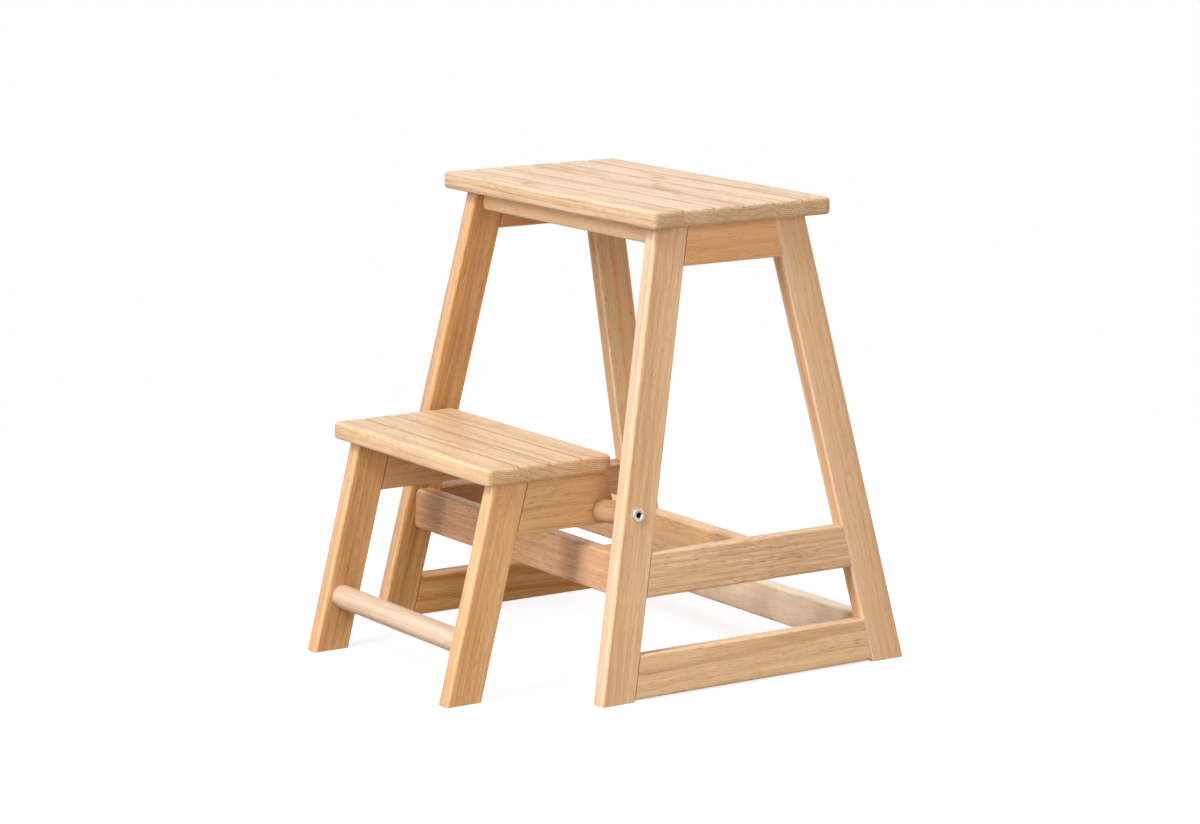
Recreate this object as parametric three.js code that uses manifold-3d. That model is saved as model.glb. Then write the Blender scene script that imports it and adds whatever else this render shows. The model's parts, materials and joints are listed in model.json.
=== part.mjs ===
// A wooden folding stool with two treads. The low step swings up and over into the tall main
// frame. Millimetres, Z up. X runs across the stool, and the step stands on the -Y side.
// Y is measured from the front edge of the main feet. At the end the stool is moved so that its
// origin lies on the floor under the middle of its box.

import * as THREE from 'three';
import { mergeVertices } from 'three/addons/utils/BufferGeometryUtils.js';
import Module from 'manifold-3d';

const wasm = await Module();
wasm.setup();

// Main frame
const mainWidth = 460;            // over the outer faces of the feet
const mainDepth = 380;            // front edge of the front feet to back edge of the rear feet
const mainHeight = 490;           // floor to the top of the seat
const sideSplay = 5.82;           // degrees that each side frame leans inwards
const mainLegLean = 11.53;        // degrees that each main leg leans within its side frame
const boardThickness = 18;        // every leg, rail and apron
const legBoardWidth = 40;         // every leg
const sideRailHeight = 45;
const lowSideRailBottom = 2;
const midRailDrop = 76.5;         // fold axis down to the bottom of the middle rails
const topApronHeight = 42;

// Rails that cross between the two side frames
const frontRailHeight = 44;
const frontRailSetback = 6.9;     // behind the front edges of the front legs, at its top
const restRailHeight = 45;
const restRailDrop = 3;           // bottom of the rail below the middle side rails
const restRailReach = 131.8;      // fold axis to the front of the rail that the folded step rests on
const rearRailBottom = 8;
const rearRailHeight = 39;
const rearRailSetback = 7.5;      // behind the front edges of the rear legs, at its top
const topRailHeight = 21;
const topRailSetback = 9;         // behind the outer edges of the legs, under the seat

// Seats
const mainSeatLength = 409;
const mainSeatDepth = 220;
const mainSeatStrips = 6;
const stepSeatLength = 315;
const stepSeatDepth = 148;
const stepSeatStrips = 4;
const seatThickness = 18;
const seatCornerRadius = 8;
const seatEdgeRadius = 6;
const grooveWidth = 3;
const grooveDepth = 1.6;

// Step
const stepHeight = 240;
const stepWidth = 290;            // over the outer faces of the step's legs
const stepReach = 129.6;          // front edge of the step's feet, ahead of the main feet
const stepLegLean = 14.5;         // degrees
const stepApronHeight = 55.5;
const stepSeatOverhang = 5.3;     // back edge of the step's seat, behind the fold axis
const rungDiameter = 25;
const rungHeight = 57;            // floor to the rung's centre line
const rungSocketDepth = 10;

// Pivots
const pivotSetback = 17.8;        // fold axis behind the front edge of the front legs
const pivotRise = 13.3;           // fold axis above the lower edge of the step's aprons
const boltDiameter = 6;
const boltHeadDiameter = 14.5;
const boltHeadHeight = 2.4;
const boltHeadEdge = 0.8;
const keyWidth = 5;               // across the flats of the recess in the bolt's head
const keyDepth = 1.6;
const spacerDiameter = 24;
const spacerEdge = 1;
const washerDiameter = 17;
const washerThickness = 1.2;
const washerEdge = 0.3;
const nutDiameter = 14;
const nutHeight = 8;
const nutEdge = 1.5;
const nutCapThickness = 3;        // closed end of the nut, past the end of the bolt

// Dowels and screws inside the joints
const dowelDiameter = 8;
const dowelLength = 30;
const dowelInEdge = 14;           // depth in the edge of a leg
const dowelFaceShare = 0.6;       // depth in the face of a board, as a share of its thickness
const dowelChamfer = 1;
const lowDowelShare = 0.3;        // height of a dowel in its rail, as a share of the rail
const highDowelShare = 0.7;
const middleDowelShare = 0.5;
const screwDiameter = 4;
const screwHeadDiameter = 8;
const screwHeadHeight = 3;
const screwHeadSink = 1;          // depth of the head in the rail
const screwSeatShare = 0.6;       // depth in the seat, as a share of its thickness
const screwInset = 55;            // from the end of a top rail

// Edges and clearances
const legEdgeRadius = 4;
const railEdgeRadius = 3;
const railEndRadius = 7;          // corners of a cross rail, seen from the front
const jointGap = 0.3;             // between pieces that touch
const fitClearance = 0.3;         // around a bolt, dowel or screw in its hole
const overrun = 12;               // how far a cutting shape or an untrimmed board runs on

// Curves
const edgeSegments = 2;
const cornerSegments = 3;
const bevelSteps = 4;
const roundSegments = 24;
const holeSegments = 20;
const dowelSegments = 12;
const hexSides = 6;

const splay = THREE.MathUtils.degToRad(sideSplay);
const mainLean = THREE.MathUtils.degToRad(mainLegLean);
const stepLean = THREE.MathUtils.degToRad(stepLegLean);
const mainSeatUnderside = mainHeight - seatThickness;
const stepSeatUnderside = stepHeight - seatThickness;
const mainLegDepth = legBoardWidth / Math.cos(mainLean);
const stepLegDepth = legBoardWidth / Math.cos(stepLean);
const mainSlope = Math.tan(mainLean);
const stepSlope = Math.tan(stepLean);
const splaySlope = Math.tan(splay);
// Front edge of the front legs at a height above the floor, and the same for the rear legs
const frontLegAt = (height) => mainSlope / Math.cos(splay) * height;
const rearLegAt = (height) => mainDepth - mainLegDepth - frontLegAt(height);

// The fold axis crosses the middle of the step's aprons and the boards of the front legs. At the
// axis, pivotInwards is measured square to the leg's outer face and pivotUp along it.
const stepApronLow = stepSeatUnderside - jointGap - stepApronHeight;
const pivotHeight = stepApronLow + pivotRise;
const apronMiddle = (stepWidth - boardThickness) / 2;
const pivotInset = mainWidth / 2 - apronMiddle;
const pivotInwards = pivotInset * Math.cos(splay) - pivotHeight * Math.sin(splay);
const pivotUp = pivotInset * Math.sin(splay) + pivotHeight * Math.cos(splay);
const pivotY = mainSlope * pivotUp + pivotSetback;
const stepSeatRear = pivotY + stepSeatOverhang;
const midRailBottom = pivotHeight - midRailDrop;

const wood = (color) => new THREE.MeshStandardMaterial({ color, roughness: 0.55, metalness: 0 });
const finish = {
  leg: wood(0xd9ab7c),
  rail: wood(0xd6a676),
  seat: wood(0xe9c8a2),
  round: wood(0xeccaa8),
  dowel: wood(0xcfa274),
  steel: new THREE.MeshStandardMaterial({ color: 0xcfd0cf, roughness: 0.28, metalness: 1 }),
};

// Solids
function toSolid(geometry) {
  const bare = geometry.clone();
  bare.deleteAttribute('normal');
  bare.deleteAttribute('uv');
  const merged = mergeVertices(bare);
  return new wasm.Manifold(new wasm.Mesh({
    numProp: 3,
    vertProperties: new Float32Array(merged.attributes.position.array),
    triVerts: new Uint32Array(merged.index.array),
  }));
}

function toGeometry(solid) {
  const { vertProperties, triVerts } = solid.getMesh();
  const geometry = new THREE.BufferGeometry();
  geometry.setAttribute('position', new THREE.BufferAttribute(new Float32Array(vertProperties), 3));
  geometry.setIndex(new THREE.BufferAttribute(new Uint32Array(triVerts), 1));
  geometry.computeVertexNormals();
  return geometry;
}

// The solid of a placed cutter, as it lies on the piece that it cuts
function cutterFor(piece, cutter) {
  piece.updateWorldMatrix(true, false);
  cutter.updateWorldMatrix(true, false);
  const toPiece = piece.matrixWorld.clone().invert().multiply(cutter.matrixWorld);
  return toSolid(cutter.geometry.clone().applyMatrix4(toPiece));
}

function cutAway(piece, cutter) {
  piece.geometry = toGeometry(toSolid(piece.geometry).subtract(cutterFor(piece, cutter)));
}

function keepInside(piece, cutter) {
  piece.geometry = toGeometry(toSolid(piece.geometry).intersect(cutterFor(piece, cutter)));
}

// Shapes
function roundedRectangle(width, height, radius) {
  const x = width / 2 - radius;
  const y = height / 2 - radius;
  const shape = new THREE.Shape();
  shape.moveTo(x, -y - radius);
  shape.absarc(x, -y, radius, -Math.PI / 2, 0);
  shape.absarc(x, y, radius, 0, Math.PI / 2);
  shape.absarc(-x, y, radius, Math.PI / 2, Math.PI);
  shape.absarc(-x, -y, radius, Math.PI, Math.PI * 1.5);
  return shape;
}

// A shape extruded along Z, half of it on each side of the origin
function extruded(shape, depth) {
  const options = { depth, bevelEnabled: false, curveSegments: edgeSegments };
  return new THREE.ExtrudeGeometry(shape, options).translate(0, 0, -depth / 2);
}

function board(thickness, width, length, edgeRadius) {
  return extruded(roundedRectangle(thickness, width, edgeRadius), length);
}

function prism(points, depth) {
  return extruded(new THREE.Shape(points.map(([x, y]) => new THREE.Vector2(x, y))), depth);
}

function cylinder(radius, length, segments) {
  return new THREE.CylinderGeometry(radius, radius, length, segments).rotateX(Math.PI / 2);
}

// A profile of radius and height, turned about Z
function turned(profile, segments) {
  const points = profile.map(([radius, height]) => new THREE.Vector2(radius, height));
  return new THREE.LatheGeometry(points, segments).rotateX(Math.PI / 2);
}

// A bar up from the origin along Z, with both rims chamfered
function roundBar(radius, length, chamfer, segments) {
  return turned([
    [0, 0],
    [radius - chamfer, 0],
    [radius, chamfer],
    [radius, length - chamfer],
    [radius - chamfer, length],
    [0, length],
  ], segments);
}

const stool = new THREE.Group();
const frame = new THREE.Group();
const step = new THREE.Group();
stool.add(frame, step);
const pieces = {};
const cutters = [];

function addPiece(parent, name, geometry, material) {
  const piece = new THREE.Mesh(geometry, material);
  piece.name = name;
  parent.add(piece);
  pieces[name] = piece;
  return piece;
}

// Cutters are placed like pieces and leave the stool at the end
function addCutter(parent, geometry) {
  const cutter = new THREE.Mesh(geometry);
  parent.add(cutter);
  cutters.push(cutter);
  return cutter;
}

// Legs lean back and run past the floor and the seat until they are trimmed. The front edge of
// a leg meets the floor at footFront.
function leaningLeg(parent, name, { side, outerFace, lean, footFront, height }) {
  const length = height / Math.cos(lean) + overrun * 2;
  const middle = length / 2 - overrun;
  const across = legBoardWidth / 2;
  const blank = board(boardThickness, legBoardWidth, length, legEdgeRadius);
  const leg = addPiece(parent, name, blank, finish.leg);
  leg.position.set(
    outerFace - side * boardThickness / 2,
    footFront + across * Math.cos(lean) + middle * Math.sin(lean),
    middle * Math.cos(lean) - across * Math.sin(lean),
  );
  leg.rotation.x = -lean;
  return leg;
}

// The room for legs, between the floor and the underside of a seat
function addLegRoom(parent, underside) {
  const height = underside - jointGap;
  const room = addCutter(parent, new THREE.BoxGeometry(mainWidth * 2, mainDepth * 2, height));
  room.position.set(0, mainDepth / 2, height / 2);
  return room;
}

// A board along Y between two slanted ends, with its outer face flush with the legs'. Each end
// is given where its line meets the floor, and by its slope.
function sideBoard(parent, name, { side, outerFace, low, height, ends }) {
  const blank = board(boardThickness, height, mainDepth * 2, railEdgeRadius).rotateX(Math.PI / 2);
  const rail = addPiece(parent, name, blank, finish.rail);
  rail.position.set(outerFace - side * boardThickness / 2, 0, low + height / 2);
  const corner = (end, slope, z) => [end + slope * z, z];
  const bottom = low - overrun;
  const top = low + height + overrun;
  const outline = [
    corner(ends.front, ends.frontSlope, bottom),
    corner(ends.rear, ends.rearSlope, bottom),
    corner(ends.rear, ends.rearSlope, top),
    corner(ends.front, ends.frontSlope, top),
  ];
  const profile = prism(outline, boardThickness * 2).rotateX(Math.PI / 2).rotateZ(Math.PI / 2);
  const between = addCutter(parent, profile);
  between.position.x = rail.position.x;
  keepInside(rail, between);
  return rail;
}

// Side frames. Each has its own splayed plane: x is zero on the outer faces, y runs back along
// the floor and z runs up the frame.
const sides = [['left', -1], ['right', 1]];
const sideFrames = {};
const mainLegRoom = addLegRoom(frame, mainSeatUnderside);
const mainEnds = {
  front: mainLegDepth + jointGap,
  frontSlope: mainSlope,
  rear: mainDepth - mainLegDepth - jointGap,
  rearSlope: -mainSlope,
};
const topApronLow = (mainSeatUnderside - topApronHeight) / Math.cos(splay);
// The spare height of the top apron is trimmed off under the seat
const sideRails = [
  { rail: 'top_apron', low: topApronLow, height: topApronHeight, spare: overrun },
  { rail: 'mid_side_rail', low: midRailBottom, height: sideRailHeight, spare: 0 },
  { rail: 'low_side_rail', low: lowSideRailBottom, height: sideRailHeight, spare: 0 },
];

for (const [label, side] of sides) {
  const sideFrame = new THREE.Group();
  sideFrame.position.x = side * mainWidth / 2;
  sideFrame.rotation.y = -side * splay;
  frame.add(sideFrame);
  sideFrames[label] = sideFrame;

  const leg = { side, outerFace: 0, height: mainHeight / Math.cos(splay) };
  const rearFoot = mainDepth - mainLegDepth;
  leaningLeg(sideFrame, `front_leg_${label}`, { ...leg, lean: mainLean, footFront: 0 });
  leaningLeg(sideFrame, `rear_leg_${label}`, { ...leg, lean: -mainLean, footFront: rearFoot });
  for (const { rail, low, height, spare } of sideRails) {
    const size = { low, height: height + spare, ends: mainEnds };
    sideBoard(sideFrame, `${rail}_${label}`, { side, outerFace: 0, ...size });
  }
  for (const trimmed of ['front_leg', 'rear_leg', 'top_apron']) {
    keepInside(pieces[`${trimmed}_${label}`], mainLegRoom);
  }
}

// Cross rails. Each ends at the inner faces of the splayed side frames, with rounded corners.
const frameFace = (boardThickness + jointGap) / Math.cos(splay);
const innerAt = (height) => mainWidth / 2 - frameFace - height * splaySlope;

const topRailLow = mainSeatUnderside - jointGap - topRailHeight;
const topRailFront = frontLegAt(mainSeatUnderside) + topRailSetback;
const topRailRear = mainDepth - topRailFront - boardThickness;
const frontRailFront = frontLegAt(midRailBottom + frontRailHeight) + frontRailSetback;
const restRailLow = midRailBottom - restRailDrop;
const restRailFront = pivotY + restRailReach;
const rearRailFront = rearLegAt(rearRailBottom + rearRailHeight) + rearRailSetback;
const crossRails = [
  {
    rail: 'top_rail_front', low: topRailLow, height: topRailHeight, front: topRailFront,
    heldBy: 'front_leg', dowelShare: middleDowelShare,
  },
  {
    rail: 'top_rail_rear', low: topRailLow, height: topRailHeight, front: topRailRear,
    heldBy: 'rear_leg', dowelShare: middleDowelShare,
  },
  {
    rail: 'mid_front_rail', low: midRailBottom, height: frontRailHeight, front: frontRailFront,
    heldBy: 'front_leg', dowelShare: highDowelShare,
  },
  {
    rail: 'rest_rail', low: restRailLow, height: restRailHeight, front: restRailFront,
    heldBy: 'mid_side_rail', dowelShare: highDowelShare,
  },
  {
    rail: 'low_rear_rail', low: rearRailBottom, height: rearRailHeight, front: rearRailFront,
    heldBy: 'rear_leg', dowelShare: highDowelShare,
  },
];

// The outline of a cross rail, seen from the front
function crossRailOutline(low, top) {
  const corners = [[-1, low], [1, low], [1, top], [-1, top]].map(([side, z]) =>
    new THREE.Vector2(side * innerAt(z), z));
  const outline = new THREE.Shape();
  corners.forEach((corner, index) => {
    const previous = corners[(index + corners.length - 1) % corners.length];
    const next = corners[(index + 1) % corners.length];
    const start = previous.clone().sub(corner).setLength(railEndRadius).add(corner);
    const end = next.clone().sub(corner).setLength(railEndRadius).add(corner);
    if (index === 0) {
      outline.moveTo(start.x, start.y);
    } else {
      outline.lineTo(start.x, start.y);
    }
    outline.quadraticCurveTo(corner.x, corner.y, end.x, end.y);
  });
  return outline;
}

for (const { rail, low, height, front } of crossRails) {
  const blank = board(height, boardThickness, mainWidth, railEdgeRadius).rotateY(Math.PI / 2);
  const piece = addPiece(frame, rail, blank, finish.rail);
  piece.position.set(0, front + boardThickness / 2, low + height / 2);
  const outline = crossRailOutline(low, low + height);
  const profile = addCutter(frame, extruded(outline, boardThickness * 2).rotateX(Math.PI / 2));
  profile.position.y = piece.position.y;
  keepInside(piece, profile);
}

// Seats. Each is a rounded board, with a groove from end to end between its strips.
function addSeat(parent, name, { length, depth, strips, rear, top }) {
  const edge = seatEdgeRadius;
  const outline = roundedRectangle(length - edge * 2, depth - edge * 2, seatCornerRadius - edge);
  const geometry = new THREE.ExtrudeGeometry(outline, {
    depth: seatThickness - edge * 2,
    bevelSize: edge,
    bevelThickness: edge,
    bevelSegments: bevelSteps,
    curveSegments: cornerSegments,
  });
  const seat = addPiece(parent, name, geometry, finish.seat);
  seat.position.set(0, rear - depth / 2, top - seatThickness + edge);
  const vee = [[-grooveWidth, grooveDepth], [0, -grooveDepth], [grooveWidth, grooveDepth]];
  for (let strip = 1; strip < strips; strip += 1) {
    const profile = prism(vee, length + overrun).rotateX(Math.PI / 2).rotateZ(Math.PI / 2);
    const groove = addCutter(parent, profile);
    groove.position.set(0, rear - depth * strip / strips, top);
    cutAway(seat, groove);
  }
}

addSeat(frame, 'main_seat', {
  length: mainSeatLength,
  depth: mainSeatDepth,
  strips: mainSeatStrips,
  rear: (mainDepth + mainSeatDepth) / 2,
  top: mainHeight,
});
addSeat(step, 'step_seat', {
  length: stepSeatLength,
  depth: stepSeatDepth,
  strips: stepSeatStrips,
  rear: stepSeatRear,
  top: stepHeight,
});

// Step. Its legs and aprons stand upright, and a rung joins the two legs.
const stepLegRoom = addLegRoom(step, stepSeatUnderside);
const stepEnds = {
  front: -stepReach + stepLegDepth + jointGap,
  frontSlope: stepSlope,
  rear: stepSeatRear + stepSlope * stepSeatUnderside,
  rearSlope: -stepSlope,
};

const rungY = -stepReach + stepSlope * rungHeight + stepLegDepth / 2;
const rungLength = stepWidth - boardThickness * 2 + rungSocketDepth * 2;
const rungGeometry = roundBar(rungDiameter / 2, rungLength, dowelChamfer, roundSegments);
const rung = addPiece(step, 'step_rung', rungGeometry.rotateY(Math.PI / 2), finish.round);
rung.position.set(-rungLength / 2, rungY, rungHeight);
const socketRadius = rungDiameter / 2 + fitClearance;
const socketGeometry = cylinder(socketRadius, rungLength + fitClearance * 2, roundSegments);
const socket = addCutter(step, socketGeometry.rotateY(Math.PI / 2));
socket.position.set(0, rungY, rungHeight);

for (const [label, side] of sides) {
  const outerFace = side * stepWidth / 2;
  const slant = { lean: stepLean, footFront: -stepReach, height: stepHeight };
  const leg = leaningLeg(step, `step_leg_${label}`, { side, outerFace, ...slant });
  keepInside(leg, stepLegRoom);
  cutAway(leg, socket);
  const size = { low: stepApronLow, height: stepApronHeight, ends: stepEnds };
  sideBoard(step, `step_apron_${label}`, { side, outerFace, ...size });
}

// Pivots. Each bolt stands square to its splayed leg and crosses the fold axis in the middle of
// the step's apron. The hole in the apron leaves room for the small slant of the bolt.
const nutFace = pivotInwards + (boardThickness + splaySlope * nutDiameter) / 2 + jointGap;
const boltEnd = nutFace + nutHeight - nutCapThickness;
const headTop = -jointGap - boltHeadHeight;
const headRadius = boltHeadDiameter / 2;
const boltProfile = [
  [0, headTop],
  [headRadius - boltHeadEdge, headTop],
  [headRadius, headTop + boltHeadEdge],
  [headRadius, -jointGap],
  [boltDiameter / 2, -jointGap],
  [boltDiameter / 2, boltEnd],
  [0, boltEnd],
];
const keyRadius = keyWidth / Math.sqrt(3);
const boltHoleRadius = boltDiameter / 2 + fitClearance;
const slantedHoleRadius = (thickness) => boltHoleRadius / Math.cos(splay) + splaySlope * thickness;
const washerInner = stepWidth / 2 + jointGap;
const washerOuter = washerInner + washerThickness;

for (const [label, side] of sides) {
  // On the axle z runs inwards from the outer face of the leg
  const axle = new THREE.Group();
  axle.position.set(0, pivotY, pivotUp);
  axle.rotation.y = -side * Math.PI / 2;
  sideFrames[label].add(axle);

  const bolt = addPiece(axle, `pivot_bolt_${label}`, turned(boltProfile, holeSegments), finish.steel);
  const key = addCutter(axle, cylinder(keyRadius, keyDepth * 2, hexSides));
  key.position.z = headTop;
  cutAway(bolt, key);
  const boltHole = addCutter(axle, cylinder(boltHoleRadius, mainWidth, holeSegments));
  cutAway(pieces[`front_leg_${label}`], boltHole);

  // The spacer fills the room between the leg and the washer
  const spacerBar = roundBar(spacerDiameter / 2, pivotInwards, spacerEdge, roundSegments);
  const spacer = addPiece(axle, `pivot_spacer_${label}`, spacerBar, finish.round);
  spacer.position.z = boardThickness + jointGap;
  cutAway(spacer, boltHole);
  const outside = addCutter(frame, new THREE.BoxGeometry(mainWidth, mainDepth, mainHeight));
  outside.position.set(side * (washerOuter + jointGap + mainWidth / 2), 0, mainHeight / 2);
  keepInside(spacer, outside);

  // The washer lies flat on the apron, round the place where the bolt passes
  const washerDisc = roundBar(washerDiameter / 2, washerThickness, washerEdge, holeSegments);
  const washer = addPiece(frame, `pivot_washer_${label}`, washerDisc, finish.steel);
  washer.rotation.y = side * Math.PI / 2;
  const washerOutwards = (washerInner + washerOuter) / 2 - apronMiddle;
  washer.position.set(side * washerInner, pivotY, pivotHeight + washerOutwards * splaySlope);
  const washerHoleRadius = slantedHoleRadius(washerThickness);
  const washerHole = addCutter(frame, cylinder(washerHoleRadius, overrun, holeSegments));
  washerHole.rotation.y = Math.PI / 2;
  washerHole.position.copy(washer.position);
  cutAway(washer, washerHole);

  const nutBar = roundBar(nutDiameter / 2, nutHeight, nutEdge, holeSegments);
  const nut = addPiece(axle, `pivot_cap_nut_${label}`, nutBar, finish.steel);
  nut.position.z = nutFace;
  const thread = addCutter(axle, cylinder(boltHoleRadius, nutHeight, holeSegments));
  thread.position.z = boltEnd + fitClearance - nutHeight / 2;
  cutAway(nut, thread);

  const apronHoleRadius = slantedHoleRadius(boardThickness / 2);
  const apronHole = addCutter(step, cylinder(apronHoleRadius, boardThickness * 2, holeSegments));
  apronHole.rotation.y = Math.PI / 2;
  apronHole.position.set(side * apronMiddle, pivotY, pivotHeight);
  cutAway(pieces[`step_apron_${label}`], apronHole);
}

// Dowels. The place of a dowel also cuts its hole in the boards that it joins.
function addDowel(parent, name, start, direction, joined) {
  const bar = roundBar(dowelDiameter / 2, dowelLength, dowelChamfer, dowelSegments);
  const dowel = addPiece(parent, name, bar, finish.dowel);
  dowel.position.copy(start);
  dowel.quaternion.setFromUnitVectors(new THREE.Vector3(0, 0, 1), direction);
  const holeRadius = dowelDiameter / 2 + fitClearance;
  const hole = addCutter(parent, cylinder(holeRadius, dowelLength + fitClearance * 2, dowelSegments));
  hole.quaternion.copy(dowel.quaternion);
  hole.position.copy(start).addScaledVector(direction, dowelLength / 2);
  for (const piece of joined) {
    cutAway(pieces[piece], hole);
  }
}

const back = new THREE.Vector3(0, 1, 0);
const up = new THREE.Vector3(0, 0, 1);
const stepDowelZ = stepApronLow + stepApronHeight * lowDowelShare;
const stepDowelY = -stepReach + stepLegDepth + stepSlope * stepDowelZ - dowelInEdge;
const stepApronFront = stepEnds.front + stepSlope * stepSeatUnderside;
const seatDowelY = (stepApronFront + stepSeatRear) / 2;
const seatDowelZ = stepSeatUnderside + seatThickness * dowelFaceShare - dowelLength;
const crossDowelInwards = dowelLength - boardThickness * dowelFaceShare;

for (const [label, side] of sides) {
  const sideMiddle = -side * boardThickness / 2;
  for (const { rail, low, height } of sideRails) {
    const z = low + height * lowDowelShare;
    const frontY = mainLegDepth + mainSlope * z - dowelInEdge;
    const rearY = mainDepth - frontY - dowelLength;
    for (const [end, y] of [['front', frontY], ['rear', rearY]]) {
      const start = new THREE.Vector3(sideMiddle, y, z);
      const joined = [`${end}_leg_${label}`, `${rail}_${label}`];
      addDowel(sideFrames[label], `dowel_${rail}_${end}_${label}`, start, back, joined);
    }
  }

  const outwards = new THREE.Vector3(side, 0, 0);
  for (const { rail, low, height, front, heldBy, dowelShare } of crossRails) {
    const z = low + height * dowelShare;
    const x = side * (innerAt(z) - crossDowelInwards);
    const start = new THREE.Vector3(x, front + boardThickness / 2, z);
    addDowel(frame, `dowel_${rail}_${label}`, start, outwards, [`${heldBy}_${label}`, rail]);
  }

  const apron = `step_apron_${label}`;
  const apronStart = new THREE.Vector3(side * apronMiddle, stepDowelY, stepDowelZ);
  addDowel(step, `dowel_step_apron_${label}`, apronStart, back, [`step_leg_${label}`, apron]);
  const seatStart = new THREE.Vector3(side * apronMiddle, seatDowelY, seatDowelZ);
  addDowel(step, `dowel_step_seat_${label}`, seatStart, up, ['step_seat', apron]);
}

// Screws that hold the main seat down, from below through the two top rails
const headRoom = screwHeadDiameter / 2 + fitClearance;
const shaftRoom = screwDiameter / 2 + fitClearance;
const shaftTop = topRailHeight - screwHeadSink + seatThickness * screwSeatShare;
const pointTop = shaftTop + screwDiameter / 2;
const screwProfile = [
  [0, 0],
  [screwHeadDiameter / 2, 0],
  [screwHeadDiameter / 2, screwHeadHeight],
  [screwDiameter / 2, screwHeadHeight],
  [screwDiameter / 2, shaftTop],
  [0, pointTop],
];
const screwHoleProfile = [
  [0, -screwHeadHeight],
  [headRoom, -screwHeadHeight],
  [headRoom, screwHeadHeight + fitClearance],
  [shaftRoom, screwHeadHeight + fitClearance],
  [shaftRoom, pointTop + fitClearance],
  [0, pointTop + fitClearance],
];

for (const [label, side] of sides) {
  for (const [end, railFront] of [['front', topRailFront], ['rear', topRailRear]]) {
    const screwGeometry = turned(screwProfile, dowelSegments);
    const screw = addPiece(frame, `seat_screw_${end}_${label}`, screwGeometry, finish.steel);
    const screwY = railFront + boardThickness / 2;
    const screwX = innerAt(topRailLow) - screwInset;
    screw.position.set(side * screwX, screwY, topRailLow + screwHeadSink);
    const hole = addCutter(frame, turned(screwHoleProfile, dowelSegments));
    hole.position.copy(screw.position);
    cutAway(pieces[`top_rail_${end}`], hole);
    cutAway(pieces.main_seat, hole);
  }
}

for (const cutter of cutters) {
  cutter.removeFromParent();
}
stool.position.y = (stepReach - mainDepth) / 2;

export default stool;
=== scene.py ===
# Folding step stool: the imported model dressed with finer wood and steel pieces, with a camera, a
# floor and soft light. Metres, Z up, the step towards -Y.
import json
import math
from functools import partial

import bmesh
import bpy
import numpy as np
from mathutils import Matrix, Vector


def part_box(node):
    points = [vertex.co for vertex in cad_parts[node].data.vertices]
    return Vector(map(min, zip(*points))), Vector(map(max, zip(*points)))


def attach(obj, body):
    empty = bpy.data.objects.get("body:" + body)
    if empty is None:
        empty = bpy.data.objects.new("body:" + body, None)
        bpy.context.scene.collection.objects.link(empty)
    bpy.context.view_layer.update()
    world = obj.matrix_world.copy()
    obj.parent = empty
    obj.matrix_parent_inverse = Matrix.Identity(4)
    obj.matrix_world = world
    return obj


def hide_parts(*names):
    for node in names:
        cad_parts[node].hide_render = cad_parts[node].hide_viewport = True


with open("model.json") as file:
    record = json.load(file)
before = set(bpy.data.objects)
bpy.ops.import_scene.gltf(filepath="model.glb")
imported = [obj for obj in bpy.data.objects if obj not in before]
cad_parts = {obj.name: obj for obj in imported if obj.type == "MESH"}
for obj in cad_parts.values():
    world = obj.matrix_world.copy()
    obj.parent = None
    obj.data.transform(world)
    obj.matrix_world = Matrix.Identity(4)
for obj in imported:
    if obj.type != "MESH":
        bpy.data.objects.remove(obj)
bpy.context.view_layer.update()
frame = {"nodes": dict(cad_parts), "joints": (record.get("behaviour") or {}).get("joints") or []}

print("frame loaded:", len(frame["nodes"]), "nodes")

xAxis = Vector((1, 0, 0))
yAxis = Vector((0, 1, 0))
zAxis = Vector((0, 0, 1))
sides = {"left": -1, "right": 1}
white = (1, 1, 1, 1)
tiny = 1e-9  # keeps a division from zero


# Colours are written as the screen shows them
def shade(text):
    parts = [int(text[i:i + 2], 16) / 255 for i in (1, 3, 5)]
    return (*(c / 12.92 if c < 0.04045 else ((c + 0.055) / 1.055) ** 2.4 for c in parts), 1)


# Gives a node its values, by position or by name. Wires in a list all go into one socket.
def fill(node, values):
    for key, value in values.items() if isinstance(values, dict) else enumerate(values):
        for part in value if isinstance(value, list) else [value]:
            if isinstance(part, Wire):
                part.tree.links.new(part.socket, node.inputs[key])
            else:
                node.inputs[key].default_value = part


# Adds a node. Gives one of its outputs, or all of them by name.
def addNode(tree, kind, values=(), out=0, **settings):
    node = tree.nodes.new(kind)
    for key, value in settings.items():
        setattr(node, key, value)
    fill(node, values)
    wires = {socket.name: Wire(socket) for socket in node.outputs}
    return wires if out is None or not wires else Wire(node.outputs[out])


# An output of a node. A sign between such wires adds a Math node to their tree.
class Wire:
    def __init__(self, socket):
        self.socket = socket
        self.tree = socket.id_data

    def __rsub__(self, other):
        return calc("SUBTRACT", other, self)

    def sign(operation):
        return lambda *values: calc(operation, *values)

    __add__, __sub__, __mul__, __truediv__ = map(sign, ("ADD", "SUBTRACT", "MULTIPLY", "DIVIDE"))
    __gt__, __lt__, __abs__ = map(sign, ("GREATER_THAN", "LESS_THAN", "ABSOLUTE"))


def calc(operation, *values, kind="ShaderNodeMath", out=0):
    tree = next(value.tree for value in values if isinstance(value, Wire))
    return addNode(tree, kind, values, out, operation=operation)


def vec(operation, *values, out=0):
    return calc(operation, *values, kind="ShaderNodeVectorMath", out=out)


def blend(factor, a, b):
    return addNode(factor.tree, "ShaderNodeMix", {0: factor, 6: a, 7: b}, 2, data_type="RGBA")


def remap(value, low, high, toLow=0.0, toHigh=1.0, smooth=False):
    kind = "SMOOTHSTEP" if smooth else "LINEAR"
    values = [value, low, high, toLow, toHigh]
    return addNode(value.tree, "ShaderNodeMapRange", values, interpolation_type=kind)


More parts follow.
